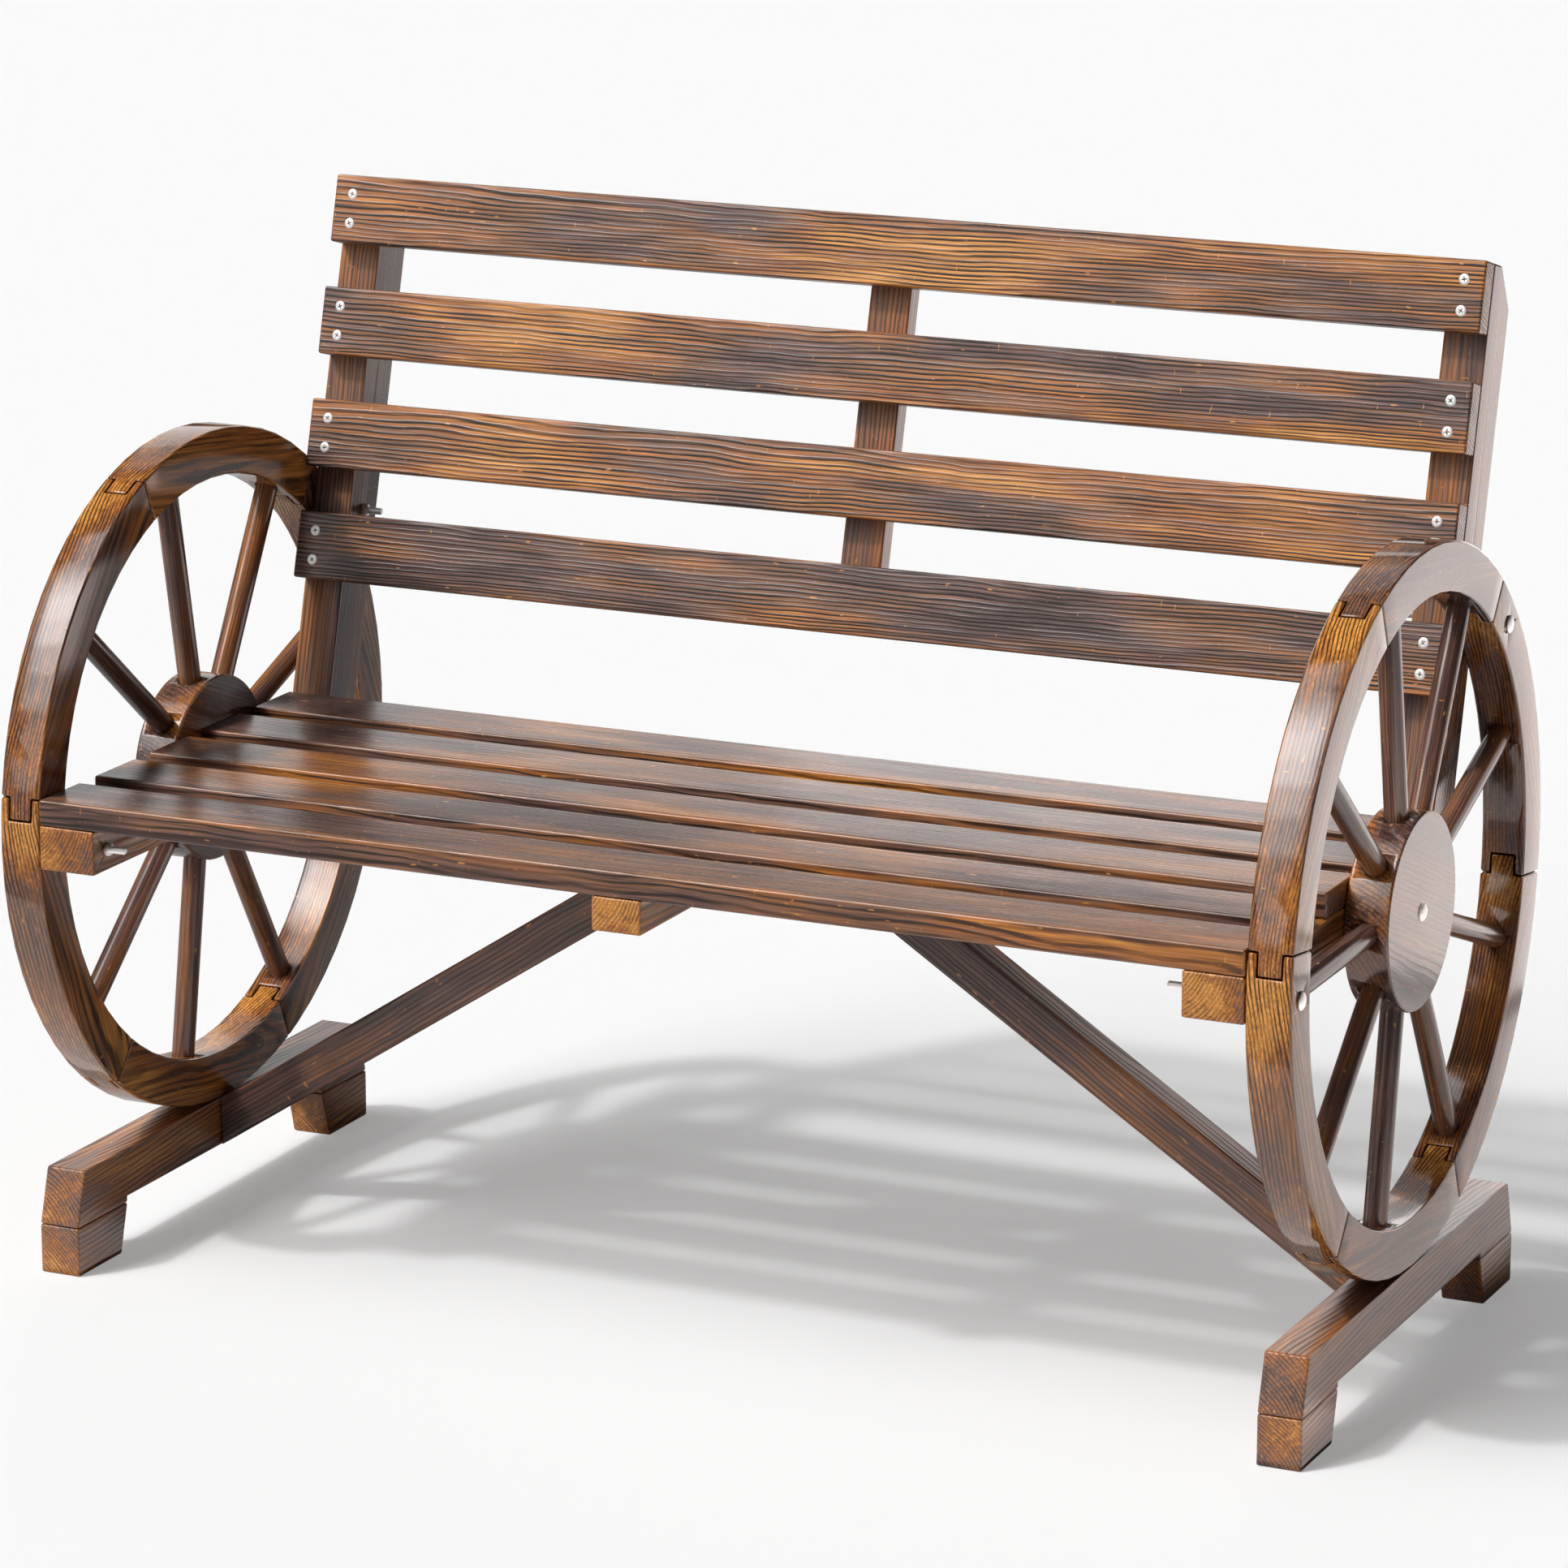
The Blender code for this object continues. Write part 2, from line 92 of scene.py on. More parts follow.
def wander(tree, board, own):
    """Bends the coordinates of a piece along its wandering grain."""
    for stretch, reach in GRAIN_BENDS:
        bend = cloud(tree, own, stretch, detail=2, roughness=0.5, output="Color")
        settings = {"operation": "MULTIPLY", 1: (0, reach, reach)}
        bend = add(tree, "VectorMath", settings, {0: bend}).outputs[0]
        board = add(tree, "VectorMath", {"operation": "ADD"}, {0: board, 1: bend}).outputs[0]
    return board


# The rings change slowly along the log and unevenly from year to year. The late wood is the dark part
# of each ring, and its line is faint in some patches and strong in others.
RINGS_ALONG = 0.03
YEAR_CHANGE = 0.35
UNEVEN_YEARS = 6
LATE_WOOD_START = -0.1
LATE_WOOD_FULL = 0.75
LINE_PATCHES = (9, 55, 55)
LINE_FAINT = 0.36
LINE_STRONG = 0.56
FAINTEST_LINE = 0.45


def ring_lines(tree, wandering, own, ring, pith, tilt):
    """The growth rings round the pith, cut lengthways by the saw, as the dark lines of the late wood.

    No two rings are alike: a line is strong on one ring and faint on the next, and fades along the piece.
    """
    slant = math.radians(tilt)
    settings = {"Location": (0, -pith[0], -pith[1]), "Rotation": (0, slant, -slant)}
    log = add(tree, "Mapping", settings, {"Vector": wandering}).outputs[0]
    log = add(tree, "VectorMath", {"operation": "MULTIPLY", 1: (RINGS_ALONG, 1, 1)}, {0: log}).outputs[0]
    radius = add(tree, "VectorMath", {"operation": "LENGTH"}, {0: log}).outputs["Value"]
    settings = {"noise_dimensions": "1D", "Scale": YEAR_CHANGE / ring, "Detail": 2, "Roughness": 0.5}
    years = add(tree, "TexNoise", settings, {"W": radius}).outputs["Fac"]
    years = add(tree, "Math", {"operation": "MULTIPLY", 1: UNEVEN_YEARS}, {0: years}).outputs[0]
    settings = {"operation": "MULTIPLY_ADD", 1: math.tau / ring}
    phase = add(tree, "Math", settings, {0: radius, 2: years}).outputs[0]
    rings = add(tree, "Math", {"operation": "SINE"}, {0: phase}).outputs[0]
    line = spread(tree, rings, LATE_WOOD_START, LATE_WOOD_FULL)
    patches = cloud(tree, own, LINE_PATCHES, detail=2, roughness=0.5)
    strong = spread(tree, patches, LINE_FAINT, LINE_STRONG, FAINTEST_LINE, 1)
    return add(tree, "Math", {"operation": "MULTIPLY"}, {0: line, 1: strong}).outputs[0]


# The tones of the wood from char to gold, and how far the torch and the streaks shift them.
CHAR = "#22160f"
ESPRESSO = "#4c3731"
UMBER = "#6f5045"
CHESTNUT = "#865a3e"
HONEY = "#a0622f"
GOLD = "#c98942"
TONES = [(0.28, ESPRESSO), (0.42, UMBER), (0.53, CHESTNUT), (0.67, HONEY), (0.86, GOLD)]
TORCH_CONTRAST = 1.4
TORCH_SHIFT = -0.64
STREAKS = (3, 200, 200)
STREAK_CONTRAST = 0.9


def torch_tone(tree, wandering, own, torch, burn, patches):
    """Espresso where the torch lingered, and honey where it passed quickly.

    Streaks a few millimetres wide run through the zones of the torch, and honey patches lighten them.
    """
    settings = {"operation": "MULTIPLY_ADD", 1: TORCH_CONTRAST, 2: burn + TORCH_SHIFT}
    light = add(tree, "Math", settings, {0: torch}).outputs[0]
    streak = cloud(tree, own, STREAKS, detail=5, roughness=0.7)
    settings = {"operation": "MULTIPLY_ADD", 1: STREAK_CONTRAST}
    light = add(tree, "Math", settings, {0: streak, 2: light}).outputs[0]
    for centre, reach, strength in patches:
        settings = {"vector_type": "TEXTURE", "Location": centre, "Scale": reach}
        spot = add(tree, "Mapping", settings, {"Vector": wandering}).outputs[0]
        spot = add(tree, "VectorMath", {"operation": "LENGTH"}, {0: spot}).outputs["Value"]
        settings = {"interpolation_type": "SMOOTHSTEP", "From Min": 1, "From Max": 0, "To Max": strength}
        spot = add(tree, "MapRange", settings, {"Value": spot}).outputs["Result"]
        light = add(tree, "Math", {"operation": "ADD"}, {0: light, 1: spot}).outputs[0]
    ramp = add(tree, "ValToRGB", {}, {"Fac": light})
    elements = ramp.color_ramp.elements
    while len(elements) < len(TONES):
        elements.new(0.5)
    for element, (place, colour) in zip(elements, TONES):
        element.position = place
        element.color = linear(colour)
    return ramp.outputs["Color"]


# Each piece is cut from another part of the noise. The zones, fibres and flecks have their lumps in each
# metre, and each kind of fleck has how rare it is.
SEED_STEPS = (0.731, 0.173, 0.377)
TORCH_ZONES = (4, 18, 18)
FIBRES = (14, 700, 700)
FIBRE_LOW = 0.25
FIBRE_HIGH = 0.75
FIBRE_DARK = 0.42
FIBRE_LIGHT = 1.58
FLECKS = [((80, 260, 260), 0.74), ((420, 80, 80), 0.77)]
FLECK_EDGE = 0.05
FLECK_STRENGTH = 0.85
WEAR_START = 0.4
WEAR_FULL = 0.9
CHAR_DULLNESS = 1.4
COAT_IOR = 1.5
FIBRE_RELIEF = 0.4


def torched_fir(name, middle, along, face, seed, ring, pith, tilt, burn, figure, brushed, gloss, patches=()):
    """Fir that was torched and brushed: dark ring lines, honey zones along the grain and a satin coat.

    Along is the grain, and face points out of the broad side. Ring is the spacing of the growth rings.
    Pith is where the middle of the tree lay, across and out of the face from the piece's middle, and tilt
    its slant in degrees. A larger burn makes the piece lighter, and figure is how dark its ring lines are.
    Brushed is the depth of the brushed grain, and gloss the roughness of the coat. Patches are honey zones,
    each with its place and half its size (along, across, out of the face) and a strength.
    """
    material = bpy.data.materials.new("torched_fir_" + name)
    material.use_nodes = True
    tree = material.node_tree
    shader = tree.nodes["Principled BSDF"]
    across = face.cross(along).normalized()
    turn = Matrix((along, across, face)).transposed().to_euler()
    place = add(tree, "TexCoord", {}, {}).outputs["Object"]
    settings = {"vector_type": "TEXTURE", "Location": middle, "Rotation": turn}
    board = add(tree, "Mapping", settings, {"Vector": place}).outputs[0]
    shift = [seed * step for step in SEED_STEPS]
    own = add(tree, "VectorMath", {"operation": "ADD", 1: shift}, {0: board}).outputs[0]
    wandering = wander(tree, board, own)
    line = ring_lines(tree, wandering, own, ring, pith, tilt)
    torch = cloud(tree, own, TORCH_ZONES, detail=3, roughness=0.55)
    tone = torch_tone(tree, wandering, own, torch, burn, patches)

    # Fibres about 1 mm wide vary the tone, and the ring lines are charred dark.
    fibre = cloud(tree, own, FIBRES, detail=3, roughness=0.6)
    shade = spread(tree, fibre, FIBRE_LOW, FIBRE_HIGH, FIBRE_DARK, FIBRE_LIGHT)
    tone = add(tree, "VectorMath", {"operation": "SCALE"}, {0: tone, "Scale": shade}).outputs[0]
    charred = add(tree, "Math", {"operation": "MULTIPLY", 1: figure}, {0: line}).outputs[0]
    tone = blend(tree, tone, CHAR, charred)

    # Resin flecks lie along the grain, and short golden nicks across it.
    for stretch, rare in FLECKS:
        fleck = cloud(tree, own, stretch, detail=1, roughness=0.4)
        fleck = spread(tree, fleck, rare, rare + FLECK_EDGE, 0, FLECK_STRENGTH)
        tone = blend(tree, tone, GOLD, fleck)

    # Honey shows on the arrises, where the brush went deepest.
    arris = add(tree, "Attribute", {"attribute_name": "arris"}, {}).outputs["Fac"]
    worn = spread(tree, torch, WEAR_START, WEAR_FULL)
    worn = add(tree, "Math", {"operation": "MULTIPLY"}, {0: arris, 1: worn}).outputs[0]
    tone = blend(tree, tone, HONEY, worn)
    tree.links.new(tone, shader.inputs["Base Color"])

    # The satin coat is thinner over the charred lines.
    dull = spread(tree, charred, 0, 1, gloss, gloss * CHAR_DULLNESS)
    tree.links.new(dull, shader.inputs["Roughness"])
    shader.inputs["IOR"].default_value = COAT_IOR

    # The brush leaves the hard late wood proud of the soft early wood.
    settings = {"operation": "MULTIPLY_ADD", 1: FIBRE_RELIEF}
    height = add(tree, "Math", settings, {0: fibre, 2: line}).outputs[0]
    relief = add(tree, "Bump", {"Strength": 1, "Distance": brushed}, {"Height": height}).outputs["Normal"]
    tree.links.new(relief, shader.inputs["Normal"])
    return material


WELD_DISTANCE = 0.00001
ARRIS_WIDTH = 0.0031
FLAT_ENOUGH = 0.985


def coat(piece, material):
    """Gives a solid its one finish, and shades its rounded arrises as one soft curve."""
    piece.data.materials.clear()
    piece.data.materials.append(material)
    piece.data.shade_smooth()
    weld = piece.modifiers.new("welded", "WELD")
    weld.merge_threshold = WELD_DISTANCE
    normals = piece.modifiers.new("soft arrises", "WEIGHTED_NORMAL")
    normals.mode = "FACE_AREA_WITH_ANGLE"


def dress(piece, material, flats):
    """Gives a solid its wood, and marks its arrises: the narrow faces that lie between its flat sides."""
    coat(piece, material)
    marks = piece.data.attributes.new("arris", "FLOAT", "FACE")
    vertices = piece.data.vertices
    for polygon in piece.data.polygons:
        corners = [vertices[index].co for index in polygon.vertices]
        longest = max((a - b).length for a, b in zip(corners, corners[1:] + corners[:1]))
        narrow = 2 * polygon.area / longest < ARRIS_WIDTH
        tilted = all(abs(polygon.normal.dot(flat)) < FLAT_ENOUGH for flat in flats)
        marks.data[polygon.index].value = 1 if narrow and tilted else 0


def middle_of(name):
    """The middle of a solid's box."""
    low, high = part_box(name)
    return (low + high) / 2


SAWN_FIR = {"ring": 0.0031, "figure": 0.7, "brushed": 0.00015, "gloss": 0.28}
FOOT_GRAIN = {**SAWN_FIR, "pith": (-0.05, -0.05), "tilt": 1.5, "burn": 0.06}
seed = 0
for side_name in SIDES:
    for piece_name in ("foot_rail", "front_foot_block", "rear_foot_block"):
        name = side_name + "_" + piece_name
        seed += 1
        wood = torched_fir(name, middle_of(name), BACKWARDS, LENGTHWAYS, seed, **FOOT_GRAIN)
        dress(nodes[name], wood, [LENGTHWAYS, BACKWARDS, UPWARDS])

# Braces
# A square fir bar slants from each foot rail up to the centre bearer and stiffens the bench lengthways.
# It is cut to the angle at both ends and screwed through the rail and into the bearer.

BRACE_RISE = 0.648
BRACE_SLOPE = math.atan(BRACE_RISE)
BRACE_GRAIN = {**SAWN_FIR, "pith": (0.07, -0.03), "tilt": 0.7, "burn": -0.14}
for side_name, side in SIDES.items():
    name = side_name + "_brace"
    seed += 1
    slope = Vector((-side * math.cos(BRACE_SLOPE), 0, math.sin(BRACE_SLOPE)))
    wood = torched_fir(name, middle_of(name), slope, -BACKWARDS, seed, **BRACE_GRAIN)
    dress(nodes[name], wood, [slope, BACKWARDS, slope.cross(BACKWARDS)])

# Wheel rims
# Six fir felloes make each rim, sawn to the curve from straight boards, so the grain runs along each chord.
# A tongue on the end of each felloe is glued into a slot in the next, and honey shows beside each joint.

WHEEL_HEIGHT = 0.3916
WHEEL_MIDDLE = 0.556
RIM_MIDDLE_RADIUS = 0.279
FELLOE_COUNT = 6
FELLOE_TURN = math.radians(-7.6)
FELLOE_GRAIN = {
    **SAWN_FIR,
    "pith": (0.08, -0.02),
    "tilt": 1.0,
    "figure": 0.85,
    "brushed": 0.00001,
    "gloss": 0.14,
}
FELLOE_BURNS = {"left": [0.08, 0.22, 0.1, 0.12, 0.08, 0.08], "right": [0.08, -0.14, 0.1, 0.12, 0.08, 0.08]}
JOINT_HONEY = [
    ((-0.12, 0, 0.007), (0.06, 0.07, 0.04), 0.34),
    ((0.125, 0, -0.045), (0.05, 0.07, 0.035), 0.24),
]
TONGUE_LENGTH = 0.018
TONGUE_WIDTH = 0.0205
JOINT_LINE = 0.0007
RIM_GLOSS = 0.07


def paint_joint_gap_shade(material, hub_centre):
    """Draws a dark line round each tongue: painted shade of the narrow gap in the joint, in the char colour.
    """
    tree = material.node_tree
    shader = tree.nodes["Principled BSDF"]
    tone = shader.inputs["Base Color"].links[0].from_socket
    place = add(tree, "TexCoord", {}, {}).outputs["Object"]
    place = add(tree, "VectorMath", {"operation": "SUBTRACT", 1: hub_centre}, {0: place}).outputs[0]
    parts = add(tree, "SeparateXYZ", {}, {"Vector": place}).outputs
    turn = add(tree, "Math", {"operation": "ARCTAN2"}, {0: parts["Z"], 1: parts["Y"]}).outputs[0]
    turn = add(tree, "Math", {"operation": "SUBTRACT", 1: FELLOE_TURN}, {0: turn}).outputs[0]
    half_span = math.pi / FELLOE_COUNT
    turn = add(tree, "Math", {"operation": "WRAP", 1: half_span, 2: -half_span}, {0: turn}).outputs[0]
    along = add(tree, "Math", {"operation": "MULTIPLY", 1: RIM_MIDDLE_RADIUS}, {0: turn}).outputs[0]
    aside = add(tree, "Math", {"operation": "ABSOLUTE"}, {0: parts["X"]}).outputs[0]
    cheek = TONGUE_WIDTH / 2
    beyond = TONGUE_LENGTH / 2 + JOINT_LINE
    edges = [
        (("COMPARE", along, 0, JOINT_LINE), ("GREATER_THAN", aside, cheek - JOINT_LINE, 0)),
        (("COMPARE", along, TONGUE_LENGTH, JOINT_LINE), ("LESS_THAN", aside, cheek + JOINT_LINE, 0)),
        (("COMPARE", aside, cheek, JOINT_LINE), ("COMPARE", along, TONGUE_LENGTH / 2, beyond)),
    ]
    for tests in edges:
        passed = []
        for test, value, limit, slack in tests:
            settings = {"operation": test, 1: limit, 2: slack}
            passed.append(add(tree, "Math", settings, {0: value}).outputs[0])
        near = add(tree, "Math", {"operation": "MULTIPLY"}, {0: passed[0], 1: passed[1]}).outputs[0]
        # The line near each edge of the tongue is painted shade of the joint's gap.
        tone = blend(tree, tone, CHAR, near)
    tree.links.new(tone, shader.inputs["Base Color"])


def polish_faces(material, face_gloss, side_gloss):
    """Gives the faces of a piece another roughness than its sides, which look along the bench."""
    tree = material.node_tree
    facing = add(tree, "TexCoord", {}, {}).outputs["Normal"]
    facing = add(tree, "SeparateXYZ", {}, {"Vector": facing}).outputs["X"]
    facing = add(tree, "Math", {"operation": "ABSOLUTE"}, {0: facing}).outputs[0]
    gloss = spread(tree, facing, 0, 1, face_gloss, side_gloss)
    tree.links.new(gloss, tree.nodes["Principled BSDF"].inputs["Roughness"])


for side_name, side in SIDES.items():
    hub_centre = Vector((side * WHEEL_MIDDLE, 0, WHEEL_HEIGHT))
    for number in range(FELLOE_COUNT):
        name = f"{side_name}_wheel_felloe_{number + 1}"
        seed += 1
        angle = FELLOE_TURN + (number + 0.5) * math.tau / FELLOE_COUNT
        chord = Vector((0, -math.sin(angle), math.cos(angle)))
        radial = Vector((0, math.cos(angle), math.sin(angle)))
        middle = hub_centre + radial * RIM_MIDDLE_RADIUS
        grain = {**FELLOE_GRAIN, "burn": FELLOE_BURNS[side_name][number], "patches": JOINT_HONEY}
        wood = torched_fir(name, middle, chord, radial, seed, **grain)
        # A dark line of painted shade marks the gap round each tongue.
        paint_joint_gap_shade(wood, hub_centre)
        polish_faces(wood, RIM_GLOSS, FELLOE_GRAIN["gloss"])
        dress(nodes[name], wood, [LENGTHWAYS])

# Spokes
# Nine fir dowels stand in drilled sockets between the hub and the felloes of each wheel.
# They are turned round, so the ring lines run straight up each spoke and the gloss is a long streak.

SPOKE_COUNT = 9
FIRST_SPOKE = math.radians(260.6)
SPOKE_GRAIN = {
    "ring": 0.0024,
    "pith": (0.04, -0.03),
    "tilt": 0.8,
    "burn": -0.08,
    "figure": 0.45,
    "brushed": 0.00003,
    "gloss": 0.2,
}
for side_name in SIDES:
    for number in range(SPOKE_COUNT):
        name = f"{side_name}_wheel_spoke_{number + 1}"
        seed += 1
        angle = FIRST_SPOKE + number * math.tau / SPOKE_COUNT
        outward = Vector((0, math.cos(angle), math.sin(angle)))
        wood = torched_fir(name, middle_of(name), outward, LENGTHWAYS, seed, **SPOKE_GRAIN)
        coat(nodes[name], wood)

# Hubs
# Each hub is a solid fir drum, with its end face turned flat and nine sockets drilled in its rim.
# A zinc-plated bolt holds it to the seat bearer, and its domed head shows in the middle of the face.

HUB_SLANT = math.radians(158)
HUB_BOLT_RADIUS = 0.0085
HUB_GRAIN = {
    "ring": 0.0036,
    "pith": (0.09, -0.04),
    "tilt": 1.0,
    "burn": 0.0,
    "figure": 0.6,
    "brushed": 0.00002,
    "gloss": 0.14,
}
ZINC = "#eeeeec"
ZINC_CLOUDS = 900
ZINC_VARIATION = 0.1
BOLT_DULLNESS = 0.65


def zinc_plate(name, dullness):
    """Bright zinc on steel: a pale grey metal, with a faint cloudy dullness from the plating bath."""
    material = bpy.data.materials.new(name)
    material.use_nodes = True
    tree = material.node_tree
    shader = tree.nodes["Principled BSDF"]
    place = add(tree, "TexCoord", {}, {}).outputs["Object"]
    clouds = add(tree, "TexNoise", {"Scale": ZINC_CLOUDS, "Detail": 3}, {"Vector": place}).outputs["Fac"]
    dull = spread(tree, clouds, 0, 1, dullness - ZINC_VARIATION, dullness + ZINC_VARIATION)
    tree.links.new(dull, shader.inputs["Roughness"])
    shader.inputs["Base Color"].default_value = linear(ZINC)
    shader.inputs["Metallic"].default_value = 1
    return material


bolt_zinc = zinc_plate("zinc_plated_bolts", BOLT_DULLNESS)
for side_name, side in SIDES.items():
    name = side_name + "_wheel_hub"
    seed += 1
    hub_centre = Vector((side * WHEEL_MIDDLE, 0, WHEEL_HEIGHT))
    grain = Vector((0, math.cos(HUB_SLANT), math.sin(HUB_SLANT)))
    wood = torched_fir(name, hub_centre, grain, LENGTHWAYS, seed, **HUB_GRAIN)
    dress(nodes[name], wood, [LENGTHWAYS])
    hub = nodes[name].data
    hub.materials.append(bolt_zinc)
    for polygon in hub.polygons:
        reach = (polygon.center - hub_centre).yz.length
        polygon.material_index = 1 if reach < HUB_BOLT_RADIUS else 0

# Seat bearers
# Three fir bars run from front to back under the seat. The outer two are bolted to the wheels.
# The slats are screwed to them from below.

BEARERS = ("left_seat_bearer", "right_seat_bearer", "centre_seat_bearer")
BEARER_GRAIN = {
    **SAWN_FIR,
    "pith": (0.05, -0.05),
    "tilt": 1.2,
    "burn": 0.28,
    "figure": 0.6,
    "brushed": 0.00012,
}
for name in BEARERS:
    seed += 1
    wood = torched_fir(name, middle_of(name), BACKWARDS, LENGTHWAYS, seed, **BEARER_GRAIN)
    dress(nodes[name], wood, [LENGTHWAYS, BACKWARDS, UPWARDS])

# Seat slats
# Five planed fir slats span the bench, screwed to the bearers from below.
# They were sanded after torching, so the grain is soft and the broad tops shine.

SEAT_SLAT_COUNT = 5
SEAT_GRAIN = {**SAWN_FIR, "pith": (0.08, -0.04), "tilt": 0.7, "figure": 0.9, "gloss": 0.21}
SEAT_BURNS = [-0.05, -0.06, -0.01, -0.07, -0.02]
SEAT_EDGE_HONEY = [
    ((0, -0.045, -0.004), (0.9, 0.02, 0.04), 0.3),
    ((-0.46, -0.045, -0.004), (0.16, 0.02, 0.04), 0.16),
    ((0.24, -0.045, 0), (0.24, 0.022, 0.03), 0.42),
]
for number in range(SEAT_SLAT_COUNT):
    name = f"seat_slat_{number + 1}"
    seed += 1
    honey = SEAT_EDGE_HONEY if number == 0 else ()
    grain = {**SEAT_GRAIN, "burn": SEAT_BURNS[number], "patches": honey}
    wood = torched_fir(name, middle_of(name), LENGTHWAYS, UPWARDS, seed, **grain)
    dress(nodes[name], wood, [LENGTHWAYS, BACKWARDS, UPWARDS])

# Back posts and centre batten
# Two fir posts lean against the last seat slat and are bolted to the rims.
# A thin batten ties the back slats together in the middle, screwed on from behind.

BACK_LEAN = math.radians(15.2)
UP_THE_BACK = Vector((0, math.sin(BACK_LEAN), math.cos(BACK_LEAN)))
BACK_FACE = Vector((0, -math.cos(BACK_LEAN), math.sin(BACK_LEAN)))
POST_GRAIN = {**SAWN_FIR, "pith": (0.07, -0.05), "tilt": 1.0, "burn": 0.0, "brushed": 0.00004, "gloss": 0.15}
POST_FACE_GLOSS = 0.5
for name in ("left_back_post", "right_back_post", "centre_back_batten"):
    seed += 1
    wood = torched_fir(name, middle_of(name), UP_THE_BACK, LENGTHWAYS, seed, **POST_GRAIN)
    polish_faces(wood, POST_FACE_GLOSS, POST_GRAIN["gloss"])
    dress(nodes[name], wood, [LENGTHWAYS, UP_THE_BACK, BACK_FACE])

# Back slats
# Four fir slats face the posts, with two screws at each end.
# The brush went deep here, and the ring lines stand up as fine ridges with honey zones between.

BACK_GRAIN = {**SAWN_FIR, "figure": 1.0, "brushed": 0.00045, "gloss": 0.27}
BACK_CUTS = [
    {"pith": (0.09, -0.03), "tilt": 0.6, "burn": -0.11},
    {"pith": (0.07, -0.035), "tilt": 1.0, "burn": 0.07},
    {"pith": (0.08, -0.04), "tilt": 0.7, "burn": 0.09},
    {"pith": (0.075, -0.035), "tilt": 1.2, "burn": 0.13},
]
BACK_HONEY = [
    [((-0.03, -0.01, 0), (0.15, 0.018, 1), 0.2), ((-0.44, 0.008, 0), (0.12, 0.018, 1), 0.1)],
    [
        ((-0.4, 0, 0), (0.17, 0.03, 1), 0.2),
        ((-0.2, -0.012, 0), (0.13, 0.018, 1), 0.14),
        ((0.14, 0.016, 0), (0.13, 0.016, 1), 0.26),
        ((0.43, -0.018, 0), (0.13, 0.016, 1), 0.24),
    ],
    [
        ((0.11, 0.005, 0), (0.14, 0.02, 1), 0.2),
        ((0.43, -0.02, 0), (0.18, 0.016, 1), 0.28),
        ((-0.3, -0.01, 0), (0.12, 0.018, 1), 0.12),
    ],
    [
        ((-0.43, -0.014, 0), (0.15, 0.024, 1), 0.16),
        ((0.01, 0.016, 0), (0.2, 0.015, 1), 0.26),
        ((0.04, -0.016, 0), (0.16, 0.018, 1), 0.18),
        ((0.28, -0.012, 0), (0.14, 0.016, 1), 0.1),
    ],
]
for number, (cut, honey) in enumerate(zip(BACK_CUTS, BACK_HONEY)):
    name = f"back_slat_{number + 1}"
    seed += 1
    grain = {**BACK_GRAIN, **cut, "patches": honey}
    wood = torched_fir(name, middle_of(name), LENGTHWAYS, BACK_FACE, seed, **grain)
    dress(nodes[name], wood, [LENGTHWAYS, UP_THE_BACK, BACK_FACE])

# Screws
# Pan-head screws of zinc-plated steel hold the back slats to the posts, two at each end of each slat.
# Others hold the batten from behind and the seat slats from under the bearers.
# Each head is a low dome with a cross-shaped recess.

SCREW_RADIUS = 0.0056
SCREW_HEIGHT = 0.0026
SCREW_SIDES = 32
SCREW_PROFILE = [(1, 0), (1, 0.3), (0.93, 0.62), (0.78, 0.87), (0.56, 1)]
SCREW_DULLNESS = 0.55
CROSS_REACH = 0.0023
CROSS_WIDTH = 0.0011
CROSS_DEPTH = 0.0013
CROSS_TAPER = 0.7
POST_MIDDLE = 0.519
BACK_SLAT_HEIGHT = 0.06
SLAT_EDGE_TO_SCREW = 0.017
SCREW_RISE = BACK_SLAT_HEIGHT / 2 - SLAT_EDGE_TO_SCREW
SCREW_ROWS = {"lower": -1, "upper": 1}
BATTEN_SCREW_REACH = 0.009
BATTEN_THICKNESS = 0.02
# How far the cross of each screw is turned from the cross of the one before it, in radians
TURN_PER_SLAT = 0.9
TURN_PER_ROW = 0.4
TURN_PER_SIDE = 0.3
TURN_ON_BATTEN = 1
TURN_UNDER_SEAT = 1.3


def screw_head():
    """One head that all the screws share: it looks along +Z, with a tapered cross cut into its flat top."""
    shape = bmesh.new()
    turns = [math.tau * step / SCREW_SIDES for step in range(SCREW_SIDES)]
    rings = []
    for reach, rise in SCREW_PROFILE:
        radius = reach * SCREW_RADIUS
        points = [(radius * math.cos(turn), radius * math.sin(turn)) for turn in turns]
        rings.append([shape.verts.new((x, y, rise * SCREW_HEIGHT)) for x, y in points])
    half = CROSS_WIDTH / 2
    arm = [(CROSS_REACH, -half), (CROSS_REACH, half), (half, half)]
    outline = []
    for quarter in range(4):
        outline += [Matrix.Rotation(quarter * math.pi / 2, 2) @ Vector(corner) for corner in arm]
    edge = [shape.verts.new((x, y, SCREW_HEIGHT)) for x, y in outline]
    low = SCREW_HEIGHT - CROSS_DEPTH
    bottom = [shape.verts.new((x * CROSS_TAPER, y * CROSS_TAPER, low)) for x, y in outline]
    for lower, upper in list(zip(rings, rings[1:])) + [(edge, bottom)]:
        for corner in range(len(lower)):
            shape.faces.new((lower[corner - 1], lower[corner], upper[corner], upper[corner - 1]))
    shape.faces.new(rings[0])
    shape.faces.new(bottom)
    lips = []
    for ring in (rings[-1], edge):
        lips += [shape.edges.get((ring[corner - 1], ring[corner])) for corner in range(len(ring))]
    bmesh.ops.triangle_fill(shape, use_beauty=True, edges=lips)
    bmesh.ops.recalc_face_normals(shape, faces=shape.faces)
    mesh = bpy.data.meshes.new("screw_head")
    shape.to_mesh(mesh)
    shape.free()
    mesh.materials.append(zinc_plate("zinc_plated_screws", SCREW_DULLNESS))
    return mesh


